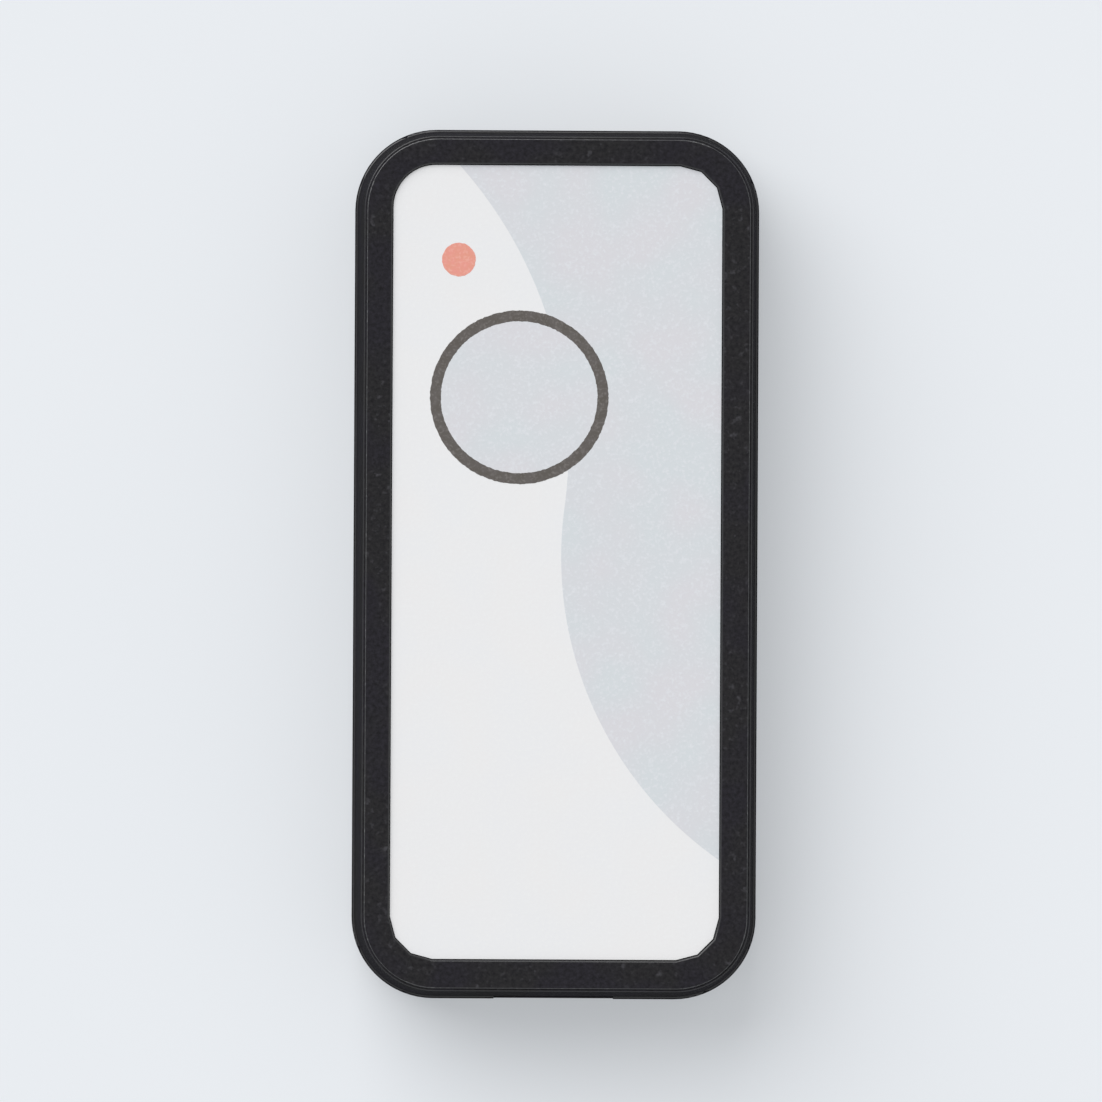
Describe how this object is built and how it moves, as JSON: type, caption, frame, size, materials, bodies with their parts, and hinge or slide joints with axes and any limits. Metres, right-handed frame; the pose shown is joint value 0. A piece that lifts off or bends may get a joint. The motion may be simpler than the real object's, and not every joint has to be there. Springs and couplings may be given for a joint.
{
  "type": "remote control transmitter",
  "caption": "Slim hand-held radio transmitter: two-part black snap case, recessed printed overlay with one round key and a lamp window, circuit board and coin cell inside.",
  "frame": {"origin": "centre of the back face, which lies on the surface it rests on", "axes": "+Y along the case towards the lamp end, +Z out of the front face, +X to the right seen from the front"},
  "size_m": [0.0406, 0.0872, 0.014],
  "materials": {
    "case_plastic": "black moulded ABS, fine spark-eroded texture",
    "label_paper": "blank satin label",
    "overlay_white": "white satin printed film",
    "ink_grey": "pale grey ink",
    "ink_dark": "dark grey ink",
    "ink_red": "pale red ink",
    "adhesive": "acrylic adhesive sheet",
    "key_plastic": "grey moulded ABS",
    "board_laminate": "glass epoxy board with green solder mask",
    "screw_steel": "zinc plated",
    "switch_plastic": "black thermoset",
    "stem_plastic": "moulded acetal",
    "switch_steel": "stainless strip",
    "tinned_metal": "tin plated",
    "lamp_epoxy": "red clear epoxy",
    "chip_epoxy": "black moulding compound",
    "can_steel": "nickel plated pressed steel",
    "tantalum_epoxy": "yellow moulding compound",
    "resistor_ceramic": "dark glaze on ceramic",
    "capacitor_ceramic": "tan fired ceramic",
    "solder": "bright solder",
    "holder_plastic": "black moulded PBT",
    "contact_bronze": "phosphor bronze strip",
    "cell_steel": "nickel plated stainless steel",
    "gasket_nylon": "moulded nylon",
    "cathode_mix": "pressed powder",
    "lithium": "soft metal foil"
  },
  "bodies": {
    "rear_half": {"rear_case": "case_plastic", "rating_label": "label_paper"},
    "front_half": {"front_case": "case_plastic", "overlay_adhesive": "adhesive", "overlay_film": "overlay_white", "grey_print": "ink_grey", "ring_print": "ink_dark", "dot_print": "ink_red", "circuit_board": "board_laminate", "board_screws": "screw_steel", "switch_base": "switch_plastic", "switch_cover": "switch_steel", "switch_dome": "switch_steel", "switch_terminals": "tinned_metal", "lamp_lens": "lamp_epoxy", "lamp_leads": "tinned_metal", "encoder_chip": "chip_epoxy", "encoder_leads": "tinned_metal", "crystal_can": "can_steel", "resonator_can": "can_steel", "transistor_body": "chip_epoxy", "transistor_leads": "tinned_metal", "tantalum_capacitor": "tantalum_epoxy", "chip_resistors": "resistor_ceramic", "chip_capacitors": "capacitor_ceramic", "chip_ends": "tinned_metal", "loop_antenna": "tinned_metal", "solder_joints": "solder", "cell_holder": "holder_plastic", "negative_contact": "contact_bronze", "positive_contact": "contact_bronze"},
    "key": {"key_cap": "key_plastic", "switch_stem": "stem_plastic"},
    "coin_cell": {"cell_can": "cell_steel", "cell_gasket": "gasket_nylon", "cell_cap": "cell_steel", "cathode_pellet": "cathode_mix", "lithium_disc": "lithium"}
  },
  "joints": [
    {"name": "case_open", "type": "slide", "parent": "rear_half", "child": "front_half", "axis": [0, 0, 1], "range_m": [0, 0.045]},
    {"name": "key_press", "type": "slide", "parent": "front_half", "child": "key", "axis": [0, 0, -1], "range_m": [0, 0.0003], "stiffness_N_per_m": 5300, "deforming": ["switch_dome", "overlay_film", "grey_print"]},
    {"name": "cell_out", "type": "slide", "parent": "front_half", "child": "coin_cell", "axis": [0, 0, -1], "range_m": [0, 0.0225]}
  ],
  "couplings": [
    {"joint": "cell_out", "follows": "case_open", "ratio": 0.5}
  ]
}
